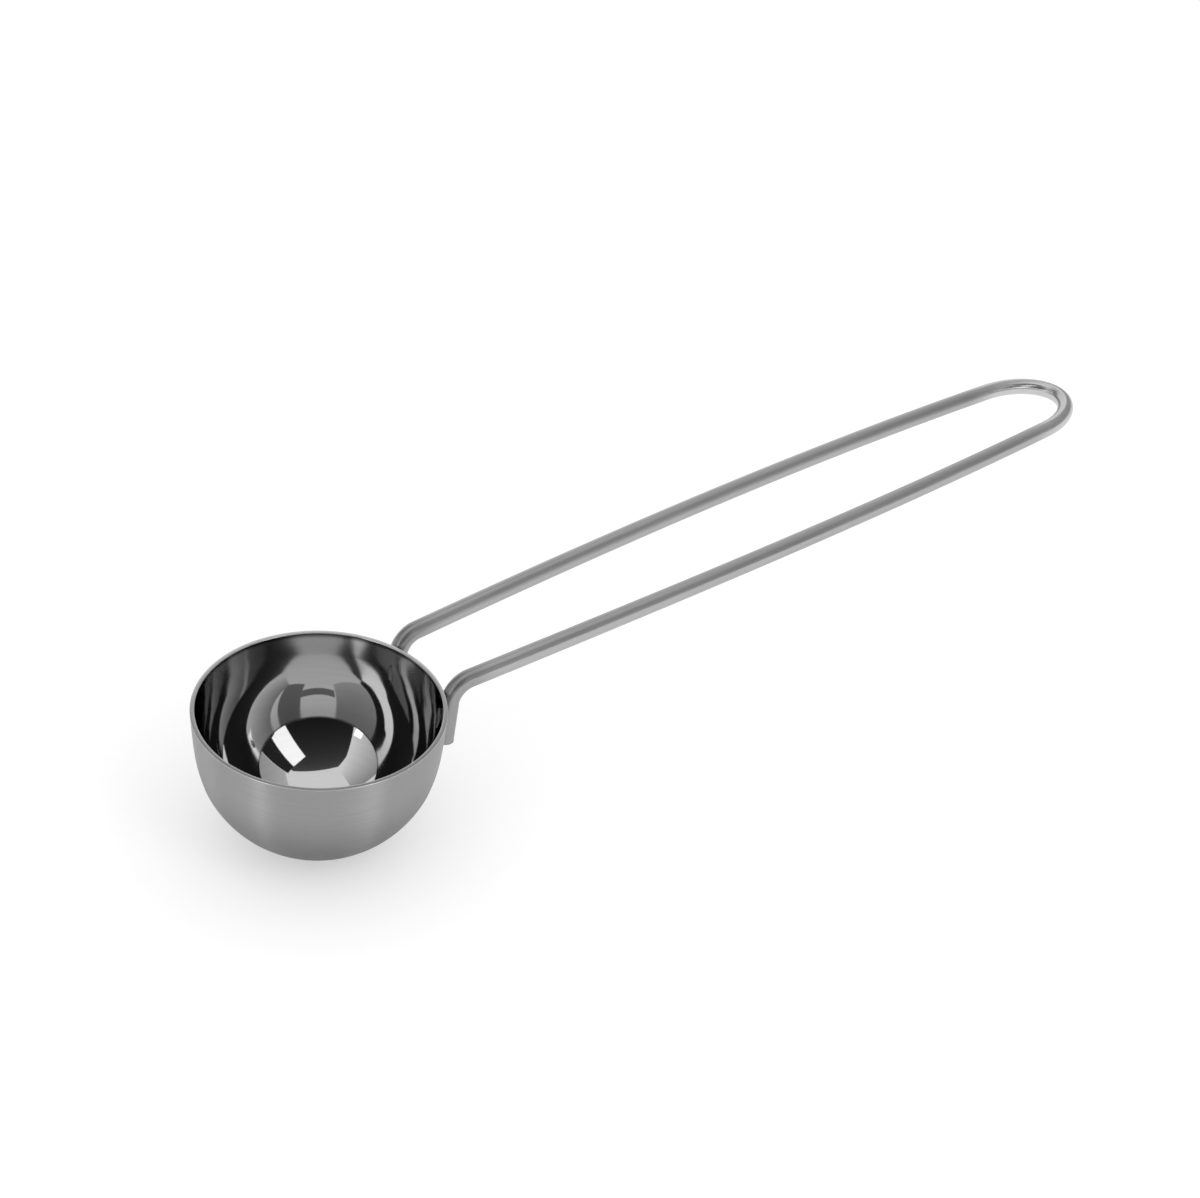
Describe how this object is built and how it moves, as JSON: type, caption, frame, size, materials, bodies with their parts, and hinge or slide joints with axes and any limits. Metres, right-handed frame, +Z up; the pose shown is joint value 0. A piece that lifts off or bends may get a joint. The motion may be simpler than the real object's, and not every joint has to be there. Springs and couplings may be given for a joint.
{
  "type": "coffee scoop",
  "caption": "Stainless-steel coffee scoop: a round-bottomed drawn bowl with a flat rim, and a long hairpin handle of round wire welded to its wall, with a loop to hang it by.",
  "frame": {"origin": "centre of the flat under the bowl, which stands on the table", "axes": "+Z up the bowl's axis to the rim, +X out along the handle, +Y across the handle"},
  "size_m": [0.214, 0.045, 0.0362],
  "materials": {
    "satin_steel": "brushed round the outside, mirror polished inside, rim ground flat",
    "drawn_wire": "drawn stainless wire, satin along its length",
    "weld_metal": "bare fused steel, dull"
  },
  "bodies": {
    "root": {"bowl": "satin_steel", "wire_handle": "drawn_wire", "weld_left": "weld_metal", "weld_right": "weld_metal"}
  },
  "joints": []
}
